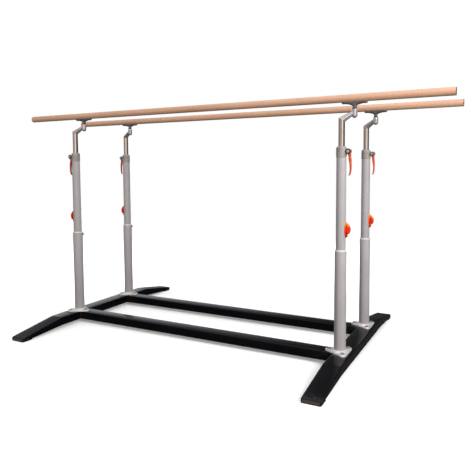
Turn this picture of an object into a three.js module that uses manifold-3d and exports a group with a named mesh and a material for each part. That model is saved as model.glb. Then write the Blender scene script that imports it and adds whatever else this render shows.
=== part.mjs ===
// Gymnastics parallel bars: two oval wooden rails on four height and width adjustable uprights,
// which stand on a low frame of two arched cross feet and two long beams.
// Millimetres, +Z up. X runs along the rails, Y across them.
// The origin is on the floor, midway along the rails.

import * as THREE from "three";
import { mergeVertices } from "three/addons/utils/BufferGeometryUtils.js";
import Module from "manifold-3d";

const wasm = await Module();
wasm.setup();

// ---------------------------------------------------------------- driving dimensions

const gap = 0.3; // between pieces that touch on the real object
const sides = 24; // facets round a tube

// Layout
const railLength = 3500;
const railTop = 1766;
const uprightSpacingX = 2300;
const uprightSpacingY = 638;
const armReach = 80; // from the upright's axis to the rail's
const armTurn = THREE.MathUtils.degToRad(19.5); // each arm points along +X, turned this much inwards
const baseShiftX = -armReach * Math.cos(armTurn); // all four arms point along +X, so the base sits off centre
const railY = uprightSpacingY / 2 - armReach * Math.sin(armTurn);

// Rails
const railHeight = 50;
const railWidth = 41;
const railCoreRadius = 8;
const railCapThickness = 3;
const railMidZ = railTop - railHeight / 2;
const railBottomZ = railTop - railHeight;

// Base frame
const baseTopZ = 92;
const footWidth = 120;
const footHalfLength = 935;
const footKinkY = 552; // where the flat middle turns down to the tip
const footTipZ = 30;
const footArchZ = 27; // underside of the middle, above the floor
const footLandingY = 845; // where the flat under the tip begins
const footOutset = 21; // the cross foot's centre line is this far outboard of the uprights
const beamWidth = 103;
const beamInset = 20; // a beam's centre line is this far inboard of the uprights
const boxWall = 4;
const boxEdgeRadius = 7;
const soleThickness = 6;
const shoeWall = 14;
const shoeChamfer = 9;

// Flange
const flangeThickness = 12;
const flangeLobeReach = 74; // from the upright's axis to a lobe's centre
const flangeLobeRadius = 24;
const flangeBossHeight = 9;
const flangeBossFoot = 53; // radius of the cone's foot
const flangeBossTop = 44;
const flangeBevel = 1.5;
const flangeFit = 0.4;
const flangeBolts = 3;
const boltHeadRadius = 12;
const boltHeadHeight = 8;

// Upright tubes, as radii and heights
const lowerRadius = 39;
const lowerBore = 36;
const lowerTopZ = 771;
const lowerChamfer = 5.5;
const lowerChamferHeight = 9;
const guideRingHeight = 16;
const middleRadius = 32;
const middleBore = 29;
const ledgeBore = 26;
const middleBottomZ = 150;
const middleTopZ = 1367;
const middleFit = 32.4; // bore of the rings that hold the middle tube
const heightRadius = 28.6;
const heightBore = 21.6;
const heightBottomZ = 630;
const heightTopZ = 1080;
const heightFloor = 8;
const heightDrain = 10;
const guideScrewZ = 748;
const guideScrewRadius = 8;
const guideScrewReach = 48; // from the upright's axis
const guideScrewSides = 12;

// Latch
const latchZ = 903;
const latchPitch = 50;
const latchHolesAbove = 3;
const latchHolesBelow = 5;
const latchPinRadius = 6;
const latchHoleRadius = 6.4;
const latchHoleSides = 8;
const latchTip = 26.6; // how close the pin's tip comes to the upright's axis
const keywayFloor = 25.6;
const keywayHalf = 6.9;
const housingHalfHeight = 52;
const housingDepth = 8; // how far it stands out from the middle tube
const housingSwell = 9; // the same at its fullest, above and below the knob
const housingWidth = 36;
const knobBack = 41; // from the upright's axis
const knobDepth = 21;
const knobUp = 42;
const knobDown = 30;
const knobWidth = 32;
const orangeBevel = 2;

// Clamp
const collarRadius = 34;
const collarBore = 21.6;
const collarTopZ = 1437;
const collarChamfer = 7;
const collarChamferHeight = 8;
const spigotLength = 22;
const clampX = 48; // clamp bolt, from the upright's axis
const clampZ = 1404;
const clampBossRadius = 17;
const clampHalfWidth = 17;
const clampSlotHalf = 6.2;
const clampSlitHalf = 1.2;
const clampBoltRadius = 5;
const clampHoleRadius = 5.4;
const clampHexRadius = 11;
const clampHeadHalf = 4;
const clampNutHalf = 3;
const leverEyeRadius = 12;
const leverHalfWidth = 5.6;
const leverDrop = 153;
const leverBulge = 18;
const leverTipWidth = 9;

// Swan neck
const stemRadius = 21;
const stemBore = 17.5;
const stemBottomZ = heightBottomZ + heightFloor + 1;
const stemBoreTopZ = 1574;
const kneeZ = 1604;
const armEndZ = 1653;
const armEndRadius = 13.5;
const socketRadius = 18.5;
const socketTopZ = 1672;
const socketBottomZ = 1616;
const socketConeHeight = 11;
const socketConeTip = 7;
const socketBore = 8.6;
const socketFloorZ = 1638;

// Saddle
const saddleHalfLength = 83;
const saddleWidth = 26;
const studRadius = 8;
const studBottomZ = 1641;
const studCollarRadius = 13;
const studGrooveRadius = 10.5;
const studSealRadius = 14.5; // a ring between the socket's top and the casting
const studSealBottomZ = 1674.5;
const studSealTopZ = 1681;
const studCollarZ = 1684;
const saddleNeckZ = 1689;
const saddleNeckHalf = 13;
const saddleTopZ = 1720.5;
const saddleTipZ = 1708; // underside of the wings at their tips
const saddleMidZ = 1700; // and where they run into the neck
const saddleBevel = 1.5;

// ---------------------------------------------------------------- materials

function material(color, roughness, metalness) {
  return new THREE.MeshStandardMaterial({ color, roughness, metalness });
}

const look = {
  basePaint: () => material(0x151518, 0.32, 0.0),
  rubber: () => material(0x2c2926, 0.85, 0.0),
  wood: () => material(0xcd9c80, 0.5, 0.0),
  core: () => material(0xd9d4c0, 0.6, 0.0),
  cap: () => material(0x2a2422, 0.6, 0.0),
  castSilver: () => material(0xb8b2b0, 0.4, 0.7),
  greyPaint: () => material(0xc0b7b6, 0.45, 0.1),
  castGrey: () => material(0x9b918a, 0.55, 0.5),
  steel: () => material(0xa9a39c, 0.35, 0.9),
  chrome: () => material(0xc5b1a2, 0.12, 1.0),
  orange: () => material(0xfa4d09, 0.4, 0.0),
};

// ---------------------------------------------------------------- solids

// A closed three.js geometry as a solid that can be joined and cut.
function solid(geometry) {
  const bare = geometry.index ? geometry : geometry.clone();
  bare.deleteAttribute("normal");
  bare.deleteAttribute("uv");
  const merged = mergeVertices(bare, 1e-4);
  const mesh = new wasm.Mesh({
    numProp: 3,
    vertProperties: new Float32Array(merged.attributes.position.array),
    triVerts: new Uint32Array(merged.index.array),
  });
  return new wasm.Manifold(mesh);
}

// A solid back as a three.js geometry.
function geometryOf(body) {
  const mesh = body.getMesh();
  const positions = new Float32Array(mesh.vertProperties);
  const geometry = new THREE.BufferGeometry();
  geometry.setAttribute("position", new THREE.BufferAttribute(positions, mesh.numProp));
  geometry.setIndex(new THREE.BufferAttribute(new Uint32Array(mesh.triVerts), 1));
  const flat = geometry.toNonIndexed();
  flat.computeVertexNormals();
  return flat;
}

function cylinderZ(radius, bottom, top, facets = sides) {
  const height = top - bottom;
  return new THREE.CylinderGeometry(radius, radius, height, facets)
    .rotateX(Math.PI / 2)
    .translate(0, 0, bottom + height / 2);
}

function cylinderX(radius, start, end, facets = sides) {
  const length = end - start;
  return new THREE.CylinderGeometry(radius, radius, length, facets)
    .rotateZ(Math.PI / 2)
    .translate(start + length / 2, 0, 0);
}

function cylinderY(radius, halfLength, facets = sides) {
  return new THREE.CylinderGeometry(radius, radius, 2 * halfLength, facets);
}

function block(x0, x1, y0, y1, z0, z1) {
  const box = new THREE.BoxGeometry(x1 - x0, y1 - y0, z1 - z0);
  return box.translate((x0 + x1) / 2, (y0 + y1) / 2, (z0 + z1) / 2);
}

// A profile of [radius, height] pairs spun about Z. It runs up the outside and down the inside.
function spin(profile, facets = sides) {
  const points = profile.map(([radius, height]) => new THREE.Vector2(radius, height));
  return new THREE.LatheGeometry(points, facets).rotateX(Math.PI / 2);
}

const profileClosed = (points) => [...points, points[0]];

function extrude(shape, depth, bevel, curveSegments) {
  return new THREE.ExtrudeGeometry(shape, {
    depth: depth - 2 * bevel,
    steps: 1,
    curveSegments,
    bevelEnabled: bevel > 0,
    bevelThickness: bevel,
    bevelSize: bevel,
    bevelOffset: -bevel,
    bevelSegments: 1,
  }).translate(0, 0, bevel);
}

// A shape drawn in Y and Z, extruded along X between x0 and x1.
function extrudeX(shape, x0, x1, bevel = 0, curveSegments = 8) {
  const turn = new THREE.Matrix4().makeBasis(
    new THREE.Vector3(0, 1, 0),
    new THREE.Vector3(0, 0, 1),
    new THREE.Vector3(1, 0, 0),
  );
  return extrude(shape, x1 - x0, bevel, curveSegments).applyMatrix4(turn).translate(x0, 0, 0);
}

// A shape drawn in X and Z, extruded along Y, centred on Y = 0.
function extrudeY(shape, width, bevel = 0, curveSegments = 8) {
  const turn = new THREE.Matrix4().makeBasis(
    new THREE.Vector3(1, 0, 0),
    new THREE.Vector3(0, 0, 1),
    new THREE.Vector3(0, -1, 0),
  );
  return extrude(shape, width, bevel, curveSegments).applyMatrix4(turn).translate(0, width / 2, 0);
}

function shapeThrough(corners) {
  return new THREE.Shape(corners.map(([a, b]) => new THREE.Vector2(a, b)));
}

function ovalShape(width, height, midY) {
  const shape = new THREE.Shape();
  shape.absellipse(0, midY, width / 2, height / 2, 0, 2 * Math.PI, false, 0);
  return shape;
}

// ---------------------------------------------------------------- base frame

// Side profile of a cross foot out to a reach, shrunk by an inset at its top and underside.
function footProfile(inset, reach) {
  const slope = (baseTopZ - footTipZ) / (footHalfLength - footKinkY);
  const topDrop = inset * Math.tan(Math.atan(slope) / 2);
  const tipBottom = soleThickness + gap + inset;
  const right = [
    [footKinkY - topDrop, baseTopZ - inset],
    [reach, baseTopZ - inset - (reach - footKinkY + topDrop) * slope],
    [reach, tipBottom],
    [footLandingY, tipBottom],
    [footKinkY, footArchZ + inset],
  ];
  const left = right.map(([y, z]) => [-y, z]).reverse();
  return shapeThrough([...right.reverse(), ...left.reverse()]);
}

function crossFoot() {
  const outerReach = footHalfLength - shoeWall - gap;
  const half = footWidth / 2;
  const outer = solid(extrudeX(footProfile(0, outerReach), -half, half, boxEdgeRadius));
  const hollow = solid(extrudeX(footProfile(boxWall, footHalfLength), boxWall - half, half - boxWall));
  return geometryOf(outer.subtract(hollow));
}

function roundedBoxShape(width, bottom, top, radius) {
  const shape = new THREE.Shape();
  const half = width / 2;
  shape.moveTo(-half + radius, bottom);
  shape.lineTo(half - radius, bottom);
  shape.absarc(half - radius, bottom + radius, radius, -Math.PI / 2, 0);
  shape.lineTo(half, top - radius);
  shape.absarc(half - radius, top - radius, radius, 0, Math.PI / 2);
  shape.lineTo(-half + radius, top);
  shape.absarc(-half + radius, top - radius, radius, Math.PI / 2, Math.PI);
  shape.lineTo(-half, bottom + radius);
  shape.absarc(-half + radius, bottom + radius, radius, Math.PI, 1.5 * Math.PI);
  return shape;
}

function beam() {
  const half = uprightSpacingX / 2 + footOutset - footWidth / 2 - gap;
  const outerShape = roundedBoxShape(beamWidth, footArchZ, baseTopZ, boxEdgeRadius);
  const innerWidth = beamWidth - 2 * boxWall;
  const innerRadius = boxEdgeRadius - boxWall;
  const innerShape = roundedBoxShape(innerWidth, footArchZ + boxWall, baseTopZ - boxWall, innerRadius);
  const outer = solid(extrudeX(outerShape, -half, half, 0, 3));
  const inner = solid(extrudeX(innerShape, -half - 1, half + 1, 0, 2));
  return geometryOf(outer.subtract(inner));
}

// Rubber shoe for the tip at +Y: a sole, a chamfered end wall and a tongue that plugs the open tube.
function footShoe() {
  const halfWidth = footWidth / 2;
  const wallStart = footHalfLength - shoeWall;
  const slope = (baseTopZ - footTipZ) / (footHalfLength - footKinkY);
  const profile = shapeThrough([
    [footLandingY, 0],
    [footHalfLength, 0],
    [footHalfLength, footTipZ - shoeChamfer],
    [footHalfLength - shoeChamfer, footTipZ + shoeChamfer * slope],
    [wallStart, footTipZ + shoeWall * slope],
    [wallStart, soleThickness],
    [footLandingY, soleThickness],
  ]);
  const body = solid(extrudeX(profile, -halfWidth, halfWidth));
  const clear = boxWall + 1;
  const tongueDepth = 24;
  const tongue = block(
    clear - halfWidth,
    halfWidth - clear,
    wallStart - tongueDepth,
    wallStart + 1,
    soleThickness + gap + clear,
    footTipZ - clear,
  );
  return geometryOf(body.add(solid(tongue)));
}

// ---------------------------------------------------------------- upright, with its outer side towards +X

// Directions of the flange's lobes: one over the beam, two over the cross foot.
const lobeStep = (2 * Math.PI) / flangeBolts;
const lobeAngles = Array.from({ length: flangeBolts }, (_, i) => Math.PI + i * lobeStep);

function flange() {
  const shape = new THREE.Shape();
  lobeAngles.forEach((angle) => {
    const x = flangeLobeReach * Math.cos(angle);
    const y = flangeLobeReach * Math.sin(angle);
    shape.absarc(x, y, flangeLobeRadius, angle - lobeStep / 2, angle + lobeStep / 2);
  });
  const bottom = baseTopZ + gap;
  const plateTop = bottom + flangeThickness;
  const bossTop = plateTop + flangeBossHeight;
  let body = solid(extrude(shape, flangeThickness, flangeBevel, 4).translate(0, 0, bottom));
  const boss = spin([
    [0, plateTop - 1],
    [flangeBossFoot, plateTop - 1],
    [flangeBossTop, bossTop],
    [0, bossTop],
  ]);
  body = body.add(solid(boss));
  for (const angle of lobeAngles) {
    const head = cylinderZ(boltHeadRadius, plateTop - 1, plateTop + boltHeadHeight, 6);
    head.translate(flangeLobeReach * Math.cos(angle), flangeLobeReach * Math.sin(angle), 0);
    body = body.add(solid(head));
  }
  const bore = cylinderZ(lowerRadius + flangeFit, bottom - 1, bossTop + 1);
  return geometryOf(body.subtract(solid(bore)));
}

// Lower tube, with a ledge the middle tube stands on, a guide ring at its top and a guide screw.
function lowerTube(screwAngle) {
  const bottom = baseTopZ + gap;
  const ledgeTop = middleBottomZ - gap;
  const ring = lowerTopZ - guideRingHeight;
  let body = solid(spin(profileClosed([
    [lowerRadius, bottom],
    [lowerRadius, lowerTopZ - lowerChamferHeight],
    [lowerRadius - lowerChamfer, lowerTopZ],
    [middleFit, lowerTopZ],
    [middleFit, ring],
    [lowerBore, ring],
    [lowerBore, ledgeTop],
    [ledgeBore, ledgeTop],
    [ledgeBore, bottom],
  ])));
  const screw = cylinderX(guideScrewRadius, lowerBore + 1, guideScrewReach, guideScrewSides);
  body = body.add(solid(screw.translate(0, 0, guideScrewZ).rotateZ(screwAngle)));
  return geometryOf(body);
}

function middleTube() {
  const wall = solid(spin(profileClosed([
    [middleRadius, middleBottomZ],
    [middleRadius, middleTopZ],
    [middleBore, middleTopZ],
    [middleBore, middleBottomZ],
  ])));
  const hole = cylinderX(latchHoleRadius, 0, middleRadius + 1, latchHoleSides);
  return geometryOf(wall.subtract(solid(hole.translate(0, 0, latchZ))));
}

// The sliding tube inside, with index holes at an even pitch along a keyway that stops it turning.
function heightTube() {
  let body = solid(spin(profileClosed([
    [heightRadius, heightBottomZ],
    [heightRadius, heightTopZ],
    [heightBore, heightTopZ],
    [heightBore, heightBottomZ + heightFloor],
    [heightDrain, heightBottomZ + heightFloor],
    [heightDrain, heightBottomZ],
  ])));
  const keyway = block(
    keywayFloor,
    heightRadius + 1,
    -keywayHalf,
    keywayHalf,
    heightBottomZ - 1,
    heightTopZ + 1,
  );
  body = body.subtract(solid(keyway));
  for (let step = -latchHolesBelow; step <= latchHolesAbove; step += 1) {
    const hole = cylinderX(latchHoleRadius, 0, heightRadius, latchHoleSides);
    body = body.subtract(solid(hole.translate(0, 0, latchZ + step * latchPitch)));
  }
  return geometryOf(body);
}

function clampCollar() {
  const bottom = middleTopZ + gap;
  let body = solid(spin([
    [0, bottom - spigotLength],
    [middleBore - gap, bottom - spigotLength],
    [middleBore - gap, bottom],
    [collarRadius, bottom],
    [collarRadius, collarTopZ - collarChamferHeight],
    [collarRadius - collarChamfer, collarTopZ],
    [0, collarTopZ],
  ]));
  const boss = cylinderY(clampBossRadius, clampHalfWidth, 20).translate(clampX, 0, clampZ);
  const web = block(
    collarRadius / 2,
    clampX,
    -clampHalfWidth,
    clampHalfWidth,
    clampZ - clampBossRadius,
    clampZ + clampBossRadius,
  );
  body = body.add(solid(boss)).add(solid(web));
  const slotStart = clampX - leverEyeRadius - 1;
  const slotEnd = clampX + clampBossRadius + 1;
  const slotHalf = clampBossRadius + 1;
  const slot = block(slotStart, slotEnd, -clampSlotHalf, clampSlotHalf, clampZ - slotHalf, clampZ + slotHalf);
  const spigotEnd = bottom - spigotLength - 1;
  const slit = block(0, slotStart + 1, -clampSlitHalf, clampSlitHalf, spigotEnd, collarTopZ + 1);
  const boltHole = cylinderY(clampHoleRadius, clampHalfWidth + 1, 12).translate(clampX, 0, clampZ);
  const bore = cylinderZ(collarBore, spigotEnd, collarTopZ + 1);
  for (const cut of [bore, slot, slit, boltHole]) {
    body = body.subtract(solid(cut));
  }
  return geometryOf(body);
}

// Bolt across the clamp's two ears: a hex head on the side given by a sign, a thinner nut on the other.
function clampBolt(headSide) {
  const inner = clampHalfWidth + gap;
  const shank = cylinderY(clampBoltRadius, inner + 2, 12);
  const head = cylinderY(clampHexRadius, clampHeadHalf, 6);
  const nut = cylinderY(clampHexRadius, clampNutHalf, 6);
  head.translate(0, headSide * (inner + clampHeadHalf), 0);
  nut.translate(0, -headSide * (inner + clampNutHalf), 0);
  const body = solid(shank).add(solid(head)).add(solid(nut));
  return geometryOf(body).translate(clampX, 0, clampZ);
}

// Curved lever that hangs from the clamp bolt, with an eye round it.
function clampLever() {
  const tipX = clampX - 1;
  const tipZ = clampZ - leverDrop;
  const innerX = clampX + leverBulge * 0.67;
  const shape = new THREE.Shape();
  shape.moveTo(clampX + leverEyeRadius - 1, clampZ - 2);
  shape.bezierCurveTo(
    clampX + leverBulge,
    clampZ - leverDrop * 0.25,
    clampX + leverBulge * 1.2,
    clampZ - leverDrop * 0.785,
    tipX + leverTipWidth,
    tipZ,
  );
  shape.lineTo(tipX, tipZ + 1);
  shape.lineTo(tipX - 1, tipZ + 6);
  shape.bezierCurveTo(
    innerX,
    clampZ - leverDrop * 0.86,
    innerX,
    clampZ - leverDrop * 0.42,
    clampX - 5,
    clampZ - leverEyeRadius + 3,
  );
  const arm = solid(extrudeY(shape, 2 * leverHalfWidth, orangeBevel, 6));
  const eye = cylinderY(leverEyeRadius, leverHalfWidth, 16).translate(clampX, 0, clampZ);
  const hole = cylinderY(clampHoleRadius, leverHalfWidth + 1, 12).translate(clampX, 0, clampZ);
  return geometryOf(arm.add(solid(eye)).subtract(solid(hole)));
}

// Saddle shaped plate that holds the latch against the middle tube.
function lockHousing() {
  const half = housingHalfHeight;
  const swell = middleRadius + housingSwell;
  const face = middleRadius + housingDepth;
  const shape = new THREE.Shape();
  shape.moveTo(middleBore, latchZ - half);
  shape.bezierCurveTo(swell, latchZ - half * 0.92, face, latchZ - half * 0.6, face, latchZ);
  shape.bezierCurveTo(face, latchZ + half * 0.65, swell, latchZ + half * 0.92, middleBore, latchZ + half);
  const plate = solid(extrudeY(shape, housingWidth, orangeBevel, 6));
  const tube = cylinderZ(middleFit, latchZ - half - 1, latchZ + half + 1);
  const hole = cylinderX(latchHoleRadius, 0, swell, latchHoleSides).translate(0, 0, latchZ);
  return geometryOf(plate.subtract(solid(tube)).subtract(solid(hole)));
}

// Pull knob with the latch pin on its back.
function lockKnob() {
  const front = knobBack + knobDepth;
  const shape = new THREE.Shape();
  shape.moveTo(knobBack, latchZ - knobDown);
  shape.bezierCurveTo(knobBack + 6, latchZ - knobDown, front, latchZ - knobDown * 0.75, front, latchZ);
  shape.bezierCurveTo(
    front,
    latchZ + knobUp / 2,
    knobBack + 12,
    latchZ + knobUp * 0.8,
    knobBack,
    latchZ + knobUp,
  );
  const grip = solid(extrudeY(shape, knobWidth, orangeBevel, 6));
  const pin = cylinderX(latchPinRadius, latchTip, knobBack + 5, latchHoleSides).translate(0, 0, latchZ);
  return geometryOf(grip.add(solid(pin)));
}

// ---------------------------------------------------------------- swan neck, with its arm towards +X

// A tube that runs up to the knee and on along the arm. Both stretches meet on the knee's mitre plane.
function mitredTube(startRadius, endRadius, startZ, kneeHeight, endX, endZ) {
  const slope = Math.atan2(endZ - kneeHeight, endX);
  const mitre = Math.PI / 4 + slope / 2; // angle of the mitre plane's normal above X
  const facets = sides;
  const geometry = new THREE.CylinderGeometry(1, 1, 1, facets, 2);
  const position = geometry.attributes.position;
  const along = new THREE.Vector3(Math.cos(slope), 0, Math.sin(slope));
  const across = new THREE.Vector3(Math.sin(slope), 0, -Math.cos(slope));
  for (let i = 0; i < position.count; i += 1) {
    const unitX = position.getX(i);
    const unitY = -position.getZ(i);
    const level = position.getY(i);
    if (level < -0.25) {
      position.setXYZ(i, startRadius * unitX, startRadius * unitY, startZ);
    } else if (level < 0.25) {
      const x = startRadius * unitX;
      position.setXYZ(i, x, startRadius * unitY, kneeHeight - x / Math.tan(mitre));
    } else {
      const point = along.clone().multiplyScalar(Math.hypot(endX, endZ - kneeHeight));
      point.addScaledVector(across, endRadius * unitX);
      position.setXYZ(i, point.x, endRadius * unitY, kneeHeight + point.z);
    }
  }
  return geometry;
}

function swanNeck() {
  const tube = solid(mitredTube(stemRadius, armEndRadius, stemBottomZ, kneeZ, armReach, armEndZ));
  const bore = solid(cylinderZ(stemBore, stemBottomZ - 1, stemBoreTopZ));
  const socket = spin([
    [0, socketBottomZ],
    [socketConeTip, socketBottomZ],
    [socketRadius, socketBottomZ + socketConeHeight],
    [socketRadius, socketTopZ],
    [0, socketTopZ],
  ], 20).translate(armReach, 0, 0);
  const pinHole = cylinderZ(socketBore, socketFloorZ, socketTopZ + 1, 16).translate(armReach, 0, 0);
  return geometryOf(tube.subtract(bore).add(solid(socket)).subtract(solid(pinHole)));
}

// ---------------------------------------------------------------- rail and saddle

function rail() {
  const half = railLength / 2 - railCapThickness - gap;
  const wood = solid(extrudeX(ovalShape(railWidth, railHeight, railMidZ), -half, half, 0, 14));
  const bore = cylinderX(railCoreRadius + gap, -half - 1, half + 1, 16).translate(0, 0, railMidZ);
  return geometryOf(wood.subtract(solid(bore)));
}

function railCore() {
  const half = railLength / 2 - railCapThickness - gap;
  return cylinderX(railCoreRadius, -half, half, 16).translate(0, 0, railMidZ);
}

// End cap for the rail's end at +X.
function railCap() {
  const end = railLength / 2;
  return extrudeX(ovalShape(railWidth - 1, railHeight - 1, railMidZ), end - railCapThickness, end, 1, 10);
}

// Gull wing casting that cradles the rail, with the stud it swivels on.
function saddle() {
  const half = saddleHalfLength;
  const neck = saddleNeckHalf;
  const shape = new THREE.Shape();
  shape.moveTo(-half, saddleTopZ);
  shape.lineTo(-half, saddleTipZ);
  shape.bezierCurveTo(-half / 2, (saddleTipZ + saddleMidZ) / 2, -neck - 5, saddleMidZ, -neck, saddleNeckZ);
  shape.lineTo(neck, saddleNeckZ);
  shape.bezierCurveTo(neck + 5, saddleMidZ, half / 2, (saddleTipZ + saddleMidZ) / 2, half, saddleTipZ);
  shape.lineTo(half, saddleTopZ);
  const wings = solid(extrudeY(shape, saddleWidth, saddleBevel, 6));
  const stud = solid(spin([
    [0, studBottomZ],
    [studRadius, studBottomZ],
    [studRadius, studSealBottomZ],
    [studSealRadius, studSealBottomZ],
    [studSealRadius, studSealTopZ],
    [studGrooveRadius, studSealTopZ],
    [studGrooveRadius, studCollarZ],
    [studCollarRadius, studCollarZ],
    [studCollarRadius, saddleNeckZ + 2],
    [0, saddleNeckZ + 2],
  ], 16));
  const cradle = extrudeX(
    ovalShape(railWidth + 2 * gap, railHeight + 2 * gap, railMidZ),
    -half - 1,
    half + 1,
    0,
    14,
  );
  return geometryOf(wings.add(stud).subtract(solid(cradle)));
}

// ---------------------------------------------------------------- assembly

const bars = new THREE.Group();
bars.name = "parallel_bars";

function place(parent, name, geometry, finish) {
  const mesh = new THREE.Mesh(geometry, finish());
  mesh.name = name;
  parent.add(mesh);
  return mesh;
}

const ends = [
  { name: "left", sign: -1 },
  { name: "right", sign: 1 },
];
const rows = [
  { name: "front", sign: -1 },
  { name: "rear", sign: 1 },
];

const base = new THREE.Group();
base.position.x = baseShiftX;
bars.add(base);

for (const end of ends) {
  const footX = end.sign * (uprightSpacingX / 2 + footOutset);
  place(base, `crossfoot_${end.name}`, crossFoot(), look.basePaint).position.x = footX;
  for (const row of rows) {
    const shoe = place(base, `foot_shoe_${row.name}_${end.name}`, footShoe(), look.rubber);
    shoe.position.x = footX;
    shoe.rotation.z = row.sign > 0 ? 0 : Math.PI;
  }
}

for (const row of rows) {
  const beamY = row.sign * (uprightSpacingY / 2 - beamInset);
  place(base, `beam_${row.name}`, beam(), look.basePaint).position.y = beamY;
}

for (const row of rows) {
  for (const end of ends) {
    const label = `${row.name}_${end.name}`;
    const x = (end.sign * uprightSpacingX) / 2;
    const y = (row.sign * uprightSpacingY) / 2;

    const upright = new THREE.Group();
    upright.position.set(x, y, 0);
    upright.rotation.z = end.sign > 0 ? 0 : Math.PI;
    base.add(upright);
    const screwAngle = Math.PI - (end.sign * Math.PI) / 4; // faces inwards and to the rear
    place(upright, `flange_${label}`, flange(), look.castSilver);
    place(upright, `lower_tube_${label}`, lowerTube(screwAngle), look.greyPaint);
    place(upright, `middle_tube_${label}`, middleTube(), look.greyPaint);
    place(upright, `height_tube_${label}`, heightTube(), look.steel);
    place(upright, `clamp_collar_${label}`, clampCollar(), look.castGrey);
    place(upright, `clamp_bolt_${label}`, clampBolt(end.sign * row.sign), look.steel);
    place(upright, `clamp_lever_${label}`, clampLever(), look.orange);
    place(upright, `lock_housing_${label}`, lockHousing(), look.orange);
    place(upright, `lock_knob_${label}`, lockKnob(), look.orange);

    const neck = new THREE.Group();
    neck.position.set(x, y, 0);
    neck.rotation.z = -row.sign * armTurn;
    base.add(neck);
    place(neck, `swan_neck_${label}`, swanNeck(), look.chrome);
  }
}

for (const row of rows) {
  const assembly = new THREE.Group();
  assembly.position.y = row.sign * railY;
  bars.add(assembly);
  place(assembly, `rail_${row.name}`, rail(), look.wood);
  place(assembly, `rail_core_${row.name}`, railCore(), look.core);
  for (const end of ends) {
    const label = `${row.name}_${end.name}`;
    place(assembly, `rail_cap_${label}`, railCap(), look.cap).rotation.z = end.sign > 0 ? 0 : Math.PI;
    place(assembly, `saddle_${label}`, saddle(), look.castGrey).position.x = (end.sign * uprightSpacingX) / 2;
  }
}

export default bars;
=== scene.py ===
import math
from math import atan2, copysign, cos, pi, remainder, sin, sqrt, tan

import bpy
import bmesh
from mathutils import Matrix, Vector


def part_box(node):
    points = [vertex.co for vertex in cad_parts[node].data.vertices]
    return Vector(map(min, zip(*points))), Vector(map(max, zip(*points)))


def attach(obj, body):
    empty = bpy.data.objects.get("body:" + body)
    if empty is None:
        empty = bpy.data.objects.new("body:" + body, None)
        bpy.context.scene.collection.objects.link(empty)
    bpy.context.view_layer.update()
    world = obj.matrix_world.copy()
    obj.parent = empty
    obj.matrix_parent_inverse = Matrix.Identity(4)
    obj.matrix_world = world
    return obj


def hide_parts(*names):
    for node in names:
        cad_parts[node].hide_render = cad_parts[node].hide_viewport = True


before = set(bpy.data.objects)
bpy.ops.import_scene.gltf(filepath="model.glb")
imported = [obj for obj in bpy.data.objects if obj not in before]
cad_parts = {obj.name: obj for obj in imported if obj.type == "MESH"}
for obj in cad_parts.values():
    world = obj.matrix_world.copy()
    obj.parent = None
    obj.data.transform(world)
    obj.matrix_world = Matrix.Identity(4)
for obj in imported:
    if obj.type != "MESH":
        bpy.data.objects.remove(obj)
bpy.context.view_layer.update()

MM = 0.001
TAU = 2 * pi
shift, turn_about = Matrix.Translation, Matrix.Rotation
ENDS = {"left": -1, "right": 1}
ROWS = {"front": -1, "rear": 1}
LABELS = [f"{row}_{end}" for row in ROWS for end in ENDS]


def configured(thing, **settings):
    for key, value in settings.items():
        setattr(thing, key, value)
    return thing


# --- camera

CAMERA_AT = (2.0194, -3.5, 1.293)
CAMERA_YAW = 0.4675  # to the left of +Y
CAMERA_PITCH = 0.0686  # down
CAMERA_ROLL = -0.0041
LENS = 38.57772152
SENSOR = 36.0
SHIFT_X, SHIFT_Y = -0.02624473, -0.06926160


def make_camera():
    data = configured(
        bpy.data.cameras.new("camera"), sensor_width=SENSOR, sensor_fit="HORIZONTAL", lens=LENS,
        shift_x=SHIFT_X, shift_y=SHIFT_Y, clip_start=0.05, clip_end=200,
    )
    tilt = turn_about(pi / 2 - CAMERA_PITCH, 4, "X") @ turn_about(CAMERA_ROLL, 4, "Z")
    turn = turn_about(CAMERA_YAW, 4, "Z") @ tilt
    camera = bpy.data.objects.new("camera", data)
    bpy.context.scene.collection.objects.link(camera)
    camera.matrix_world = shift(CAMERA_AT) @ turn
    bpy.context.scene.camera = camera


# --- node helpers


def srgb(red, green, blue):
    """An 8-bit display colour as linear light."""
    def linear(c):
        c /= 255
        return c / 12.92 if c <= 0.04045 else ((c + 0.055) / 1.055) ** 2.4
    return linear(red), linear(green), linear(blue)


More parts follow.
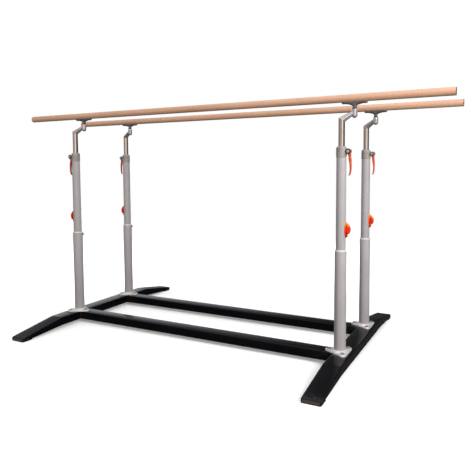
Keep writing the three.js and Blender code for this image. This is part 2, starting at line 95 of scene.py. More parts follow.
class Nodes:
    """A node tree, with short calls for the nodes that the finishes and the studio share."""

    def __init__(self, tree):
        self.tree = tree
        tree.nodes.clear()

    def add(self, kind, **settings):
        return configured(self.tree.nodes.new(kind), **settings)

    def feed(self, socket, value):
        """Links an output, or sets a constant. Three numbers for a colour are 8-bit display values."""
        if isinstance(value, bpy.types.NodeSocket):
            self.tree.links.new(value, socket)
        elif isinstance(value, tuple) and len(value) == 3 and socket.type == "RGBA":
            socket.default_value = (*srgb(*value), 1)
        else:
            socket.default_value = value

    def wired(self, kind, inputs, output=0, **settings):
        """One output of a new node whose inputs are fed."""
        node = self.add(kind, **settings)
        for key, value in inputs.items():
            self.feed(node.inputs[key], value)
        return node.outputs[output]

    def ramp(self, value, low, high, start=0.0, end=1.0, kind="SMOOTHSTEP"):
        """value from low..high to start..end, clamped."""
        inputs = {"Value": value, "From Min": low, "From Max": high, "To Min": start, "To Max": end}
        return self.wired("ShaderNodeMapRange", inputs, "Result", interpolation_type=kind)

    def maths(self, operation, a, b):
        return self.wired("ShaderNodeMath", {0: a, 1: b}, operation=operation)

    def times(self, a, b):
        return self.maths("MULTIPLY", a, b)

    def mix(self, factor, a, b):
        return self.wired("ShaderNodeMix", {"Factor": factor, 6: a, 7: b}, 2, data_type="RGBA")

    def mix_shaders(self, factor, a, b):
        return self.wired("ShaderNodeMixShader", {0: factor, 1: a, 2: b})

    def camera_ray(self):
        return self.wired("ShaderNodeLightPath", {}, "Is Camera Ray")


FINISH = {}


class Shader(Nodes):
    """A Principled material, kept in FINISH. Its textures lie in the piece's own space."""

    def __init__(self, name):
        FINISH[name] = bpy.data.materials.new(name)
        FINISH[name].use_nodes = True
        super().__init__(FINISH[name].node_tree)
        self.out = self.add("ShaderNodeOutputMaterial")
        self.bsdf = self.add("ShaderNodeBsdfPrincipled")
        self.feed(self.out.inputs[0], self.bsdf.outputs[0])
        self.place = self.wired("ShaderNodeTexCoord", {}, "Object")

    def noise(self, scale, detail=4, roughness=0.55, stretch=None, distortion=0.0):
        where = self.place
        if stretch:
            where = self.wired("ShaderNodeMapping", {"Vector": where, "Scale": stretch})
        inputs = {"Vector": where, "Scale": scale, "Detail": detail, "Roughness": roughness}
        inputs["Distortion"] = distortion
        return self.wired("ShaderNodeTexNoise", inputs, "Fac")

    def clouds(self, scale, detail, low, high, roughness=0.55, stretch=None):
        """Noise as soft patches: 0 under low, 1 over high."""
        return self.ramp(self.noise(scale, detail, roughness, stretch), low, high)

    def edges(self, low=0.51, high=0.56):
        """1 along the mesh's outer edges, 0 on its flats."""
        return self.ramp(self.wired("ShaderNodeNewGeometry", {}, "Pointiness"), low, high)

    def height(self):
        return self.wired("ShaderNodeSeparateXYZ", {0: self.place}, "Z")

    def over(self, colour, mask, amount, tint):
        """The colour, tinted by up to amount where the mask is 1."""
        return self.mix(self.times(mask, amount), colour, tint)

    def finish(self, colour, rough, relief, strength, depth, **others):
        """Sets the main sockets, and a bump of the relief."""
        for key, value in {"Base_Color": colour, "Roughness": rough, **others}.items():
            self.feed(self.bsdf.inputs[key.replace("_", " ")], value)
        bump = {"Strength": strength, "Distance": depth, "Height": relief}
        self.feed(self.bsdf.inputs["Normal"], self.wired("ShaderNodeBump", bump))


# --- finishes

# Heights over which the painted highlight on the latches' tops comes in, going up.
LATCH_HIGHLIGHT = (0.914, 0.942)  # heights on the latch, in metres
# Heights over which the painted shade at the latches' lower tips comes in, going down.
LATCH_SHADE = (0.876, 0.857)


def base_paint():
    """Black gloss paint on steel: orange peel, dust on the flats and worn edges."""
    s = Shader("base_paint")
    cloud = s.clouds(3.0, 5, 0.35, 0.7)
    dust = s.clouds(38, 6, 0.5, 0.8, 0.7)
    worn = s.times(s.edges(), s.clouds(60, 5, 0.42, 0.6, 0.7))
    colour = s.mix(cloud, (5, 6, 8), (9, 9, 12))
    colour = s.over(colour, dust, 0.2, (26, 26, 28))
    colour = s.over(colour, worn, 0.5, (60, 60, 62))
    rough = s.maths("ADD", s.ramp(cloud, 0, 1, 0.14, 0.2), s.times(dust, 0.08))
    s.finish(colour, rough, s.noise(420, 3), 0.16, 0.0004, Specular_IOR_Level=0.25)


def tube_paint():
    """Silver grey powder coat: fine texture, faint handling marks."""
    s = Shader("tube_paint")
    marks = s.clouds(30, 6, 0.56, 0.74, 0.7, (1, 1, 0.25))
    colour = s.mix(s.clouds(4.5, 5, 0.3, 0.7), (155, 151, 153), (164, 159, 161))
    colour = s.over(colour, marks, 0.22, (150, 145, 145))
    colour = s.over(colour, s.edges(), 0.35, (205, 200, 198))
    rough = s.ramp(marks, 0, 1, 0.46, 0.56)
    s.finish(colour, rough, s.noise(900, 3, 0.6), 0.22, 0.0004, Metallic=0.2)


def guide_ring():
    """Bright turned ring at the top of a lower tube."""
    s = Shader("guide_ring")
    rings = s.noise(14, 3, stretch=(0.2, 0.2, 90))
    colour = s.mix(s.ramp(rings, 0.3, 0.7), (196, 192, 190), (222, 219, 217))
    s.finish(colour, s.ramp(rings, 0.3, 0.7, 0.34, 0.46), rings, 0.15, 0.0003, Metallic=0.25)


def chrome():
    """Polished chrome plate with a warm tint, fine polishing lines and smears."""
    s = Shader("chrome")
    lines = s.noise(60, 3, stretch=(9, 9, 0.5))
    smear = s.clouds(22, 5, 0.5, 0.78, 0.6)
    colour = s.mix(s.ramp(lines, 0.3, 0.7), (232, 219, 210), (244, 234, 227))
    colour = s.over(colour, smear, 0.25, (208, 190, 176))
    s.finish(colour, s.ramp(smear, 0, 1, 0.10, 0.19), lines, 0.05, 0.0003, Metallic=1.0)


def cast(name, dark, light, edge, metallic, rough, grain_scale, depth):
    """Blasted casting: coarse grain, darker hollows, edges rubbed bright."""
    s = Shader(name)
    grain = s.noise(grain_scale, 6, 0.65)
    cells = s.wired("ShaderNodeTexVoronoi", {"Vector": s.place, "Scale": grain_scale * 0.7}, "Distance")
    colour = s.mix(s.clouds(18, 4, 0.35, 0.68), dark, light)
    colour = s.mix(s.ramp(grain, 0.55, 0.8, 0.0, 0.35), colour, dark)
    colour = s.over(colour, s.edges(0.505, 0.56), 0.7, edge)
    relief = s.maths("ADD", grain, s.times(s.ramp(cells, 0.0, 0.35), 0.4))
    shine = s.ramp(grain, 0.3, 0.7, rough - 0.06, rough + 0.08)
    s.finish(colour, shine, relief, 0.3, depth, Metallic=metallic)


def steel(name, scale, dark, light, edge, metallic, rough, strength):
    """Screws and washers: patchy plating, rubbed on the edges."""
    s = Shader(name)
    cloud = s.clouds(scale, 5, 0.35, 0.65, 0.6)
    colour = s.over(s.mix(cloud, dark, light), s.edges(), 0.6, edge)
    s.finish(colour, s.ramp(cloud, 0, 1, *rough), s.noise(700, 3), strength, 0.0003, Metallic=metallic)


def grained(name, scale, dark, light, rough, strength, depth, worn=0.0, edge=(0, 0, 0), metallic=0.0):
    """One even grain in tone, shine and relief."""
    s = Shader(name)
    grain = s.noise(scale, 4, 0.6)
    colour = s.mix(s.ramp(grain, 0.35, 0.65), dark, light)
    if worn:
        colour = s.over(colour, s.edges(), worn, edge)
    s.finish(colour, s.ramp(grain, 0.3, 0.7, *rough), grain, strength, depth, Metallic=metallic)


def shoe_rubber():
    """Dusty rubber shoe."""
    s = Shader("shoe_rubber")
    grain = s.noise(300, 5, 0.6)
    dust = s.clouds(24, 5, 0.45, 0.75, 0.6)
    colour = s.mix(s.ramp(grain, 0.35, 0.65), (17, 16, 16), (24, 23, 22))
    colour = s.over(colour, dust, 0.3, (44, 40, 37))
    s.finish(colour, s.ramp(dust, 0, 1, 0.55, 0.75), grain, 0.3, 0.0005)


def orange(name, dark, light, edge, painted_highlight=None, painted_shade=None):
    """Moulded plastic. The latches get a painted highlight on top and painted shade at their lower tips."""
    s = Shader(name)
    grain = s.noise(1100, 3, 0.6)
    colour = s.mix(s.clouds(26, 4, 0.35, 0.7), dark, light)
    if painted_highlight:
        # Painted highlight: a pale yellow-orange over the latch's top, where the light falls on it.
        top = s.times(s.ramp(s.height(), *LATCH_HIGHLIGHT), s.ramp(s.noise(60, 4), 0.3, 0.55, 0.6, 1.0))
        colour = s.over(colour, top, 0.75, painted_highlight)
    if painted_shade:
        # Painted shade: a dark red-brown on the latch's lower tip and lip, which face away from the light.
        tip = s.times(s.ramp(s.height(), *LATCH_SHADE), s.ramp(s.noise(70, 4), 0.3, 0.6, 0.5, 1.0))
        colour = s.over(colour, tip, 0.8, painted_shade)
    colour = s.over(colour, s.edges(0.505, 0.57), 0.4, edge)
    rough = s.ramp(grain, 0.3, 0.7, 0.3, 0.42)
    s.finish(colour, rough, grain, 0.14, 0.0003, Specular_IOR_Level=0.35)


def wood():
    """Beech veneer: straight fine grain along the rail and ray flecks."""
    s = Shader("wood")
    tone = s.clouds(1.3, 3, 0.32, 0.68, stretch=(1, 3, 3))
    bands = s.noise(34, 5, 0.6, stretch=(0.035, 1, 1), distortion=0.4)
    fibres = s.noise(260, 4, 0.7, stretch=(0.018, 1, 1))
    flecks = s.clouds(420, 2, 0.64, 0.74, 0.5, (0.1, 1, 1))
    colour = s.mix(tone, (194, 152, 126), (203, 163, 136))
    colour = s.mix(s.ramp(bands, 0.42, 0.66, 0.0, 0.5), colour, (186, 138, 110))
    colour = s.mix(s.ramp(fibres, 0.45, 0.75, 0.0, 0.35), colour, (174, 126, 98))
    colour = s.over(colour, flecks, 0.45, (156, 104, 78))
    relief = s.maths("ADD", fibres, s.times(bands, 0.5))
    rough = s.ramp(fibres, 0.3, 0.7, 0.42, 0.54)
    s.finish(colour, rough, relief, 0.12, 0.0004, Coat_Weight=0.3, Coat_Roughness=0.32)


base_paint()
tube_paint()
guide_ring()
chrome()
wood()
shoe_rubber()
cast("flange_cast", (194, 191, 192), (224, 221, 222), (248, 246, 245), 0.4, 0.38, 240, 0.0006)
cast("collar_cast", (154, 149, 145), (174, 168, 164), (202, 198, 194), 0.4, 0.5, 300, 0.0006)
cast("saddle_cast", (118, 117, 115), (148, 147, 144), (190, 188, 184), 0.8, 0.33, 320, 0.0004)
steel("zinc_steel", 120, (122, 117, 114), (160, 155, 152), (205, 202, 198), 0.6, (0.26, 0.42), 0.1)
# Dark steel; on the clamp bolt's washers its darkness is partly painted shade.
steel("dark_steel", 140, (66, 53, 45), (98, 82, 71), (126, 112, 102), 0.7, (0.34, 0.48), 0.12)
grained(
    "bright_metal", 160, (222, 217, 218), (240, 236, 238), (0.17, 0.27), 0.12, 0.0004,
    worn=0.5, edge=(240, 236, 234), metallic=0.85,
)
grained(
    "rail_cap", 600, (40, 35, 33), (54, 48, 45), (0.5, 0.62), 0.2, 0.0004, worn=0.4, edge=(92, 84, 78)
)
grained("shoe_pad", 420, (66, 58, 52), (86, 77, 70), (0.55, 0.7), 0.3, 0.0005)
# The latch orange carries a painted highlight on top and painted shade at its lower tips.
orange("orange", (212, 34, 4), (230, 50, 8), (252, 112, 40), painted_highlight=(255, 150, 24), painted_shade=(84, 18, 6))
# The clamp levers' orange is a darker, browner copy of the latch orange; its darkness is painted shade.
orange("lever_orange", (178, 68, 32), (202, 84, 42), (236, 142, 96))

# --- shapes, in millimetres
# A shape is a pair of lists, (verts, faces). A profile is a list of (radius, height).

WELD = 0.001


def loop_faces(count, rings, closed):
    """Quads between rings of count points, the last ring joined to the first if closed."""
    faces = []
    for i in range(rings if closed else rings - 1):
        a, b = i * count, (i + 1) % rings * count
        for j in range(count):
            k = (j + 1) % count
            faces.append((a + j, a + k, b + k, b + j))
    return faces


def circle(radius, z, sides):
    """A ring about Z. radius may be a function of the bearing, and z a function of the radius."""
    ring = []
    for j in range(sides):
        angle = TAU * j / sides
        r = radius(angle) if callable(radius) else radius
        ring.append((r * cos(angle), r * sin(angle), z(r) if callable(z) else z))
    return ring


def hexagon(corner):
    """The radius of a hexagon with that corner radius, as a function of the bearing."""
    flat = corner * cos(pi / 6)
    return lambda angle: flat / cos(remainder(angle, TAU / 6))


def rounded(points, radii, steps=5):
    """A closed polygon with its corners turned into arcs. radii is one number, or one for each corner."""
    count = len(points)
    if not isinstance(radii, (list, tuple)):
        radii = [radii] * count
    out = []
    for i, radius in enumerate(radii):
        here = Vector(points[i])
        to_last = Vector(points[i - 1]) - here
        to_next = Vector(points[(i + 1) % count]) - here
        if radius <= 0 or to_last.length < 1e-6 or to_next.length < 1e-6:
            out.append(tuple(here))
            continue
        half = to_last.angle(to_next) / 2
        reach = min(radius / tan(half), to_last.length * 0.49, to_next.length * 0.49)
        true = reach * tan(half)
        a, b = to_last.normalized(), to_next.normalized()
        centre = here + (a + b).normalized() * (true / sin(half))
        start, end = here + a * reach - centre, here + b * reach - centre
        sweep = start.angle(end)
        for k in range(steps + 1):
            t = k / steps
            arc = (start * sin((1 - t) * sweep) + end * sin(t * sweep)) / sin(sweep)
            out.append(tuple(centre + arc))
    return out


def rounded_rect(half_width, bottom, top, radius, steps=5):
    """A rounded rectangle about a centre line, as (across, height) pairs."""
    corners = [(half_width, bottom), (half_width, top), (-half_width, top), (-half_width, bottom)]
    return rounded(corners, radius, steps)


def circles(profile, sides):
    return [circle(radius, z, sides) for radius, z in profile]


def loft(rings, closed=False):
    """Rings of equal point counts as one skin. Open lofts get an end fan at both ends."""
    count = len(rings[0])
    verts = [v for ring in rings for v in ring]
    faces = loop_faces(count, len(rings), closed)
    if not closed:
        for ring, index in ((rings[0], 0), (rings[-1], len(rings) - 1)):
            verts.append(tuple(sum((Vector(p) for p in ring), Vector()) / count))
            tip = len(verts) - 1
            faces += [(tip, index * count + j, index * count + (j + 1) % count) for j in range(count)]
    return verts, faces


def lathe(profile, sides=72):
    """A closed profile spun about Z."""
    return loft(circles(profile, sides), closed=True)


def spun(profile, sides=64):
    """The same for an open profile that starts and ends on the axis."""
    inner = [p for p in profile if p[0] > 1e-6]
    verts = [v for r, z in inner for v in circle(r, z, sides)]
    faces = loop_faces(sides, len(inner), False)
    for z, ring in ((profile[0][1], 0), (profile[-1][1], len(inner) - 1)):
        verts.append((0, 0, z))
        tip = len(verts) - 1
        faces += [(tip, ring * sides + j, ring * sides + (j + 1) % sides) for j in range(sides)]
    return verts, faces


def cylinder(radius, bottom, top, ease, sides):
    """A solid cylinder with its lower rim eased."""
    profile = [(0, bottom), (radius - ease, bottom), (radius, bottom + ease), (radius, top), (0, top)]
    return spun(profile, sides)


def y_barrel(radius, half, x, z, sides=48, ease=1.2):
    """A cylinder along Y with eased rims."""
    profile = [(0, -half), (radius - ease, -half), (radius, -half + ease)]
    profile += [(radius, half - ease), (radius - ease, half), (0, half)]
    turn = shift((x, 0, z)) @ turn_about(pi / 2, 4, "X")
    return moved(spun(profile, sides), turn)


def slab(x0, x1, y0, y1, z0, z1):
    verts = [(x, y, z) for x in (x0, x1) for y in (y0, y1) for z in (z0, z1)]
    faces = [(0, 1, 3, 2), (4, 6, 7, 5), (0, 4, 5, 1), (2, 3, 7, 6), (0, 2, 6, 4), (1, 5, 7, 3)]
    return verts, faces


def joined(*shapes):
    verts, faces = [], []
    for v, f in shapes:
        start = len(verts)
        verts += [tuple(p) for p in v]
        faces += [tuple(i + start for i in face) for face in f]
    return verts, faces


def moved(shape, matrix):
    return [tuple(matrix @ Vector(v)) for v in shape[0]], shape[1]


def along_x(start):
    """Turns a Z-up shape so that its axis runs along +X from start on."""
    return shift(start) @ turn_about(pi / 2, 4, "Y")


def curve_through(points, steps):
    """A Catmull-Rom curve through the points."""
    out = []
    padded = [points[0], *points, points[-1]]
    for p0, p1, p2, p3 in zip(padded, padded[1:], padded[2:], padded[3:]):
        for k in range(steps):
            t = k / steps
            pull = (p2 - p0) * t
            bend = (2 * p0 - 5 * p1 + 4 * p2 - p3) * t * t
            out.append(0.5 * (2 * p1 + pull + bend + (3 * p1 - p0 - 3 * p2 + p3) * t ** 3))
    out.append(points[-1])
    return out


# --- meshes and pieces


def mesh_of(name, shape, dissolve=True):
    """The shape as a mesh, welded, with its faces outwards."""
    mesh = bpy.data.meshes.new(name)
    mesh.from_pydata([Vector(v) for v in shape[0]], [], shape[1])
    bm = bmesh.new()
    bm.from_mesh(mesh)
    bmesh.ops.remove_doubles(bm, verts=bm.verts, dist=WELD)
    if dissolve:
        bmesh.ops.dissolve_degenerate(bm, edges=bm.edges, dist=WELD)
    bmesh.ops.recalc_face_normals(bm, faces=bm.faces)
    bm.to_mesh(mesh)
    bm.free()
    return mesh


def linked(name, mesh):
    thing = bpy.data.objects.new(name, mesh)
    bpy.context.scene.collection.objects.link(thing)
    return thing


SLOTS = {
    "guide_ring": "tube_paint",
    "bright_metal": "chrome",
    "dark_steel": "zinc_steel",
    "lever_orange": "orange",
    "wood": "rail_wood",
    "shoe_pad": "shoe_rubber",
}


def add_piece(name, shape, finish, *nodes, place, sharp=40, body="root", slot=None):
    """A piece that rides on the body in place of the nodes."""
    mesh = shape if isinstance(shape, bpy.types.Mesh) else mesh_of(name, shape)
    mesh.transform(place @ Matrix.Scale(MM, 4))
    mesh.polygons.foreach_set("use_smooth", [True] * len(mesh.polygons))
    mesh.set_sharp_from_angle(angle=math.radians(sharp))
    mesh.materials.clear()
    mesh.materials.append(FINISH[finish])
    mesh.update()
    piece = linked(name, mesh)
    slot or SLOTS.get(finish, finish)
    if nodes:
        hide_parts(*nodes)
    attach(piece, body)


def remeshed(shape, voxel, smooth_steps, cuts=()):
    """Overlapping closed shapes fused into one skin with soft inner corners, then cut."""
    work = linked("work", mesh_of("work", shape, dissolve=False))
    cutters = [linked("work", mesh_of("work", cut, dissolve=False)) for cut in cuts]

    def modify(kind, **settings):
        configured(work.modifiers.new("step", kind), **settings)

    modify("REMESH", mode="VOXEL", voxel_size=voxel, adaptivity=0.0)
    modify("SMOOTH", factor=0.5, iterations=smooth_steps)
    for cutter in cutters:
        modify("BOOLEAN", operation="DIFFERENCE", solver="EXACT", object=cutter)
    bpy.context.view_layer.update()
    graph = bpy.context.evaluated_depsgraph_get()
    mesh = bpy.data.meshes.new_from_object(work.evaluated_get(graph))
    for thing in [work, *cutters]:
        bpy.data.objects.remove(thing)
    return mesh


# --- where things are, from the frame


def middle(node):
    low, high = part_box(node)
    return (low + high) / 2


def turned_at(node, angle):
    centre = middle(node)
    return shift((centre.x, centre.y, 0)) @ turn_about(angle, 4, "Z")


def upright_place(label):
    """The upright's own frame: its axis on Z, its outer side towards +X."""
    return turned_at(f"middle_tube_{label}", 0 if label.endswith("right") else pi)


def neck_place(label):
    """The swan neck's own frame: the upright's axis on Z, the arm towards +X."""
    reach = middle(f"saddle_{label}") - middle(f"middle_tube_{label}")
    return turned_at(f"middle_tube_{label}", atan2(reach.y, reach.x))


def inward_sign(label):
    """1 or -1: the side of the upright's own frame that faces the middle of the base."""
    row, end = label.split("_")
    return ENDS[end] * ROWS[row]


def screw_place(label, start, z):
    """Where the guide screw and rivets point: inwards and to the rear, from start mm off the axis."""
    angle = pi - ENDS[label.split("_")[1]] * pi / 4
    return turn_about(angle, 4, "Z") @ along_x((start, 0, z))


# --- base frame

BASE_TOP = 92.0
FOOT_HALF_WIDTH = 60.0
FOOT_KINK = 552.0
FOOT_LANDING = 845.0
FOOT_END = 920.7
FOOT_HALF_LENGTH = 935.0
FOOT_TIP_TOP = 30.0
FOOT_ARCH = 27.0
SOLE = 6.0
WALL = 4.0
EDGE = 7.0
SLOPE = (BASE_TOP - FOOT_TIP_TOP) / (FOOT_HALF_LENGTH - FOOT_KINK)
BEAM_HALF_WIDTH = 51.5
GAP = 0.3  # between parts that touch


def foot_top(y):
    return BASE_TOP - max(0.0, abs(y) - FOOT_KINK) * SLOPE


def foot_bottom(y):
    if abs(y) >= FOOT_LANDING:
        return SOLE + GAP
    t = max(0.0, (abs(y) - FOOT_KINK) / (FOOT_LANDING - FOOT_KINK))
    return FOOT_ARCH + t * (SOLE + GAP - FOOT_ARCH)


def box_tube(ring, stations):
    """A hollow tube: ring(station, inset) out along the stations and back inside the wall."""
    outer = [ring(s, 0) for s in stations]
    return loft(outer + [ring(s, WALL) for s in reversed(stations)], closed=True)


def box_section(half_width, bottom, top, inset):
    return rounded_rect(half_width - inset, bottom + inset, top - inset, max(EDGE - inset, 2), 6)


def make_crossfoot(end):
    bend = 3.0
    stations = [0, 180, 330, FOOT_KINK - 60, FOOT_KINK - bend, FOOT_KINK, FOOT_KINK + bend, 640]
    stations += [740, FOOT_LANDING - bend, FOOT_LANDING, FOOT_LANDING + bend, 900, FOOT_END]
    stations = [-y for y in reversed(stations[1:])] + stations

    def ring(y, inset):
        outline = box_section(FOOT_HALF_WIDTH, foot_bottom(y), foot_top(y), inset)
        return [(x, y, z) for x, z in outline]

    place = shift((middle(f"crossfoot_{end}").x, 0, 0))
    tube = box_tube(ring, stations)
    add_piece(f"foot_{end}", tube, "base_paint", f"crossfoot_{end}", place=place, sharp=30)


def make_beam(row):
    low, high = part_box(f"beam_{row}")
    half = (high.x - low.x) / MM / 2
    stations = [-half, -half + 2] + [half * t / 6 for t in range(-5, 6)] + [half - 2, half]

    def ring(x, inset):
        return [(x, y, z) for y, z in box_section(BEAM_HALF_WIDTH, FOOT_ARCH, BASE_TOP, inset)]

    place = shift(((low.x + high.x) / 2, (low.y + high.y) / 2, 0))
    tube = box_tube(ring, stations)
    add_piece(f"long_beam_{row}", tube, "base_paint", f"beam_{row}", place=place, sharp=30)
    for end, side in ENDS.items():
        add_piece(f"beam_weld_{row}_{end}", weld_shape(side * half), "base_paint", place=place, sharp=60)


def weld_shape(x):
    """A rippled bead round a beam's end, where it meets the cross foot."""
    bead, pitch, sides = 3.0, 1.6, 10
    outline = rounded_rect(BEAM_HALF_WIDTH, FOOT_ARCH, BASE_TOP, EDGE, 5)
    path = []
    for i, here in enumerate(outline):
        there = outline[(i + 1) % len(outline)]
        steps = max(1, int(math.dist(here, there) / pitch))
        path += [
            (here[0] + (there[0] - here[0]) * k / steps, here[1] + (there[1] - here[1]) * k / steps)
            for k in range(steps)
        ]
    rings = []
    for i, (y, z) in enumerate(path):
        before, after = path[i - 1], path[(i + 1) % len(path)]
        tangent = Vector((after[0] - before[0], after[1] - before[1])).normalized()
        normal = Vector((tangent.y, -tangent.x))
        radius = bead + 0.45 * sin(i * 1.25) + 0.2 * sin(i * 0.31)
        ring = []
        for j in range(sides):
            angle = TAU * j / sides
            out = radius * cos(angle)
            ring.append((x + radius * sin(angle), y + normal.x * out, z + normal.y * out))
        rings.append(ring)
    return loft(rings, closed=True)


def make_shoe(label):
    row, end = label.split("_")
    turn = turn_about(0 if ROWS[row] > 0 else pi, 4, "Z")
    place = shift((middle(f"crossfoot_{end}").x, 0, 0)) @ turn
    back = FOOT_END + GAP
    face = FOOT_HALF_LENGTH
    full = FOOT_HALF_WIDTH - 0.2
    top = FOOT_TIP_TOP + (face - back) * SLOPE

    def ring(y, half, low, high, radius):
        return [(x, y, z) for x, z in rounded_rect(half, low, high, radius, 5)]

    # The end wall, from the plug inside the tube to its chamfered face with a recess.
    wall = loft([
        ring(back - 20, full - 8, SOLE + 6, top - 9, 2.5),
        ring(back, full - 8, SOLE + 6, top - 9, 2.5),
        ring(back, full - 1, 0.8, top - 1, EDGE - 1),
        ring(back + 0.8, full, 0.1, top - 0.1, EDGE),
        ring(face - 6, full, 0.1, FOOT_TIP_TOP + 6 * SLOPE - 0.3, EDGE),
        ring(face - 2, full - 1.0, 0.3, FOOT_TIP_TOP - 1.4, 5.5),
        ring(face - 0.5, full - 2.6, 1.2, FOOT_TIP_TOP - 3.6, 4.5),
        ring(face, full - 4, 2.2, FOOT_TIP_TOP - 5.0, 3.5),
        ring(face, full - 7, 3.6, FOOT_TIP_TOP - 6.4, 2.5),
        ring(face - 2, full - 7.6, 4.2, FOOT_TIP_TOP - 7.0, 2.0),
    ])
    corners = [(full, FOOT_LANDING), (full, back + 4), (-full, back + 4), (-full, FOOT_LANDING)]
    outline = rounded(corners, [5, 0, 0, 5], 5)

    def level(z, inset):
        return [(x - copysign(inset, x), y + (inset if y < back else 0), z) for x, y in outline]

    sole = loft([level(0.05, 1.2), level(0.6, 0.4), level(1.4, 0), level(SOLE - 0.8, 0), level(SOLE, 0.7)])
    shoe = joined(wall, sole)
    add_piece(f"shoe_{label}", shoe, "shoe_rubber", f"foot_shoe_{label}", place=place)
    # The pad in the recess, in two bands.
    low, high = 4.6, FOOT_TIP_TOP - 7.4
    split = (low + high) / 2
    bands = [
        loft([
            ring(face - 2.6, full - 8.2, z0, z1, 1.4),
            ring(face - 0.9, full - 8.2, z0, z1, 1.4),
            ring(face - 0.3, full - 8.8, z0 + 0.5, z1 - 0.5, 1.0),
        ])
        for z0, z1 in ((low, split - 0.5), (split + 0.5, high))
    ]
    add_piece(f"shoe_pad_{label}", joined(*bands), "shoe_pad", place=place)


# --- screws and uprights

PLATE_BOTTOM = 92.3
PLATE_TOP = 104.3
LOBE_REACH = 74.0
LOBE_RADIUS = 24.0
LOBES = (pi, pi / 3, -pi / 3)
LOWER_RADIUS = 39.0
LOWER_BORE = 35.6
LOWER_TOP = 771.0
GUIDE_SCREW_Z = 748
MIDDLE_RADIUS = 32.0
MIDDLE_BORE = 29.0
MIDDLE_BOTTOM = 150
MIDDLE_TOP = 1367.0
RIVETS_Z = (843, 963)


def lobed_radius(angle):
    """Distance from the axis to the outline of a rounded triangle with a lobe at each of LOBES."""
    side_distance = LOBE_REACH * cos(pi / 3) + LOBE_RADIUS
    off_side = remainder(angle, TAU / 3)
    along = side_distance * tan(off_side)
    if abs(along) <= LOBE_REACH * sin(pi / 3):
        return side_distance / cos(off_side)
    off_lobe = remainder(angle - pi, TAU / 3)
    across = LOBE_REACH * sin(off_lobe)
    return LOBE_REACH * cos(off_lobe) + sqrt(LOBE_RADIUS ** 2 - across ** 2)


def hex_bolt(corner, top, start, washer=0.0):
    """A chamfered hex head from start to top, with a dished face. Under it, a washer if it has a radius."""
    sides = 48
    crown = corner * cos(pi / 6) * 0.96
    shape = hexagon(corner)
    rim = []
    if washer:
        rim = [(washer - 0.8, -1.0), (washer, -0.2), (washer, start - 0.5), (washer - 0.5, start)]
        rim.append((corner + 0.4, start))
    head = [(shape, start), (shape, lambda r: top - max(0.0, r - crown) * 0.58), (crown, top)]
    head += [(crown * 0.72, top), (crown * 0.66, top - 0.45), (crown * 0.3, top - 0.45)]
    return loft(circles(rim + head, sides))


def cap_screw(radius, height, sides=36):
    """A domed screw head with a hexagon socket, on Z = 0."""
    profile = [(radius * 0.8, -1.0), (radius, -1.0), (radius, height * 0.35)]
    for k in range(1, 6):
        t = k / 6 * pi / 2
        profile.append((radius * (0.42 + 0.58 * cos(t)), height * (0.35 + 0.65 * sin(t))))
    profile += [(hexagon(radius * r), height * z) for r, z in ((0.5, 1.0), (0.46, 0.99), (0.46, 0.35))]
    return loft(circles(profile, sides))


def washer_shape(radius, height):
    profile = [(0, -1), (radius - 0.8, -1), (radius, -0.2), (radius, height - 0.6)]
    return spun(profile + [(radius - 0.6, height), (0, height)], 48)


def make_flange(label, place):
    sides, round_over, steps = 144, 3.0, 4
    boss_top, boss_foot, boss_shoulder = 113.3, 53.0, 44.2
    bore = LOWER_RADIUS + 0.4

    def outline(z, inset):
        return circle(lambda angle: lobed_radius(angle) - inset, z, sides)

    rings = [outline(PLATE_BOTTOM, 1.0), outline(PLATE_BOTTOM + 0.8, 0)]
    for k in range(steps + 1):
        t = k / steps * pi / 2
        z = PLATE_TOP - round_over + round_over * sin(t)
        rings.append(outline(z, round_over * (1 - cos(t))))
    rings.append(outline(PLATE_TOP, 4.4))
    boss = [(boss_foot + 2.5, PLATE_TOP), (boss_foot + 1.0, PLATE_TOP + 0.4)]
    boss += [(boss_foot - 0.4, PLATE_TOP + 1.6), (boss_shoulder + 1.2, boss_top - 1.4)]
    boss += [(boss_shoulder, boss_top - 0.4), (boss_shoulder - 1.0, boss_top), (bore + 0.8, boss_top)]
    boss += [(bore, boss_top - 0.8), (bore, PLATE_BOTTOM)]
    casting = loft(rings + circles(boss, sides), closed=True)
    add_piece(f"flange_casting_{label}", casting, "flange_cast", f"flange_{label}", place=place)
    bolts = []
    for i, lobe in enumerate(LOBES):
        at = shift((LOBE_REACH * cos(lobe), LOBE_REACH * sin(lobe), PLATE_TOP))
        bolts.append(moved(hex_bolt(11.0, 8.0, 2.0, 13.6), at @ turn_about(0.4 + i, 4, "Z")))
    add_piece(f"flange_bolts_{label}", joined(*bolts), "zinc_steel", place=place, sharp=30)


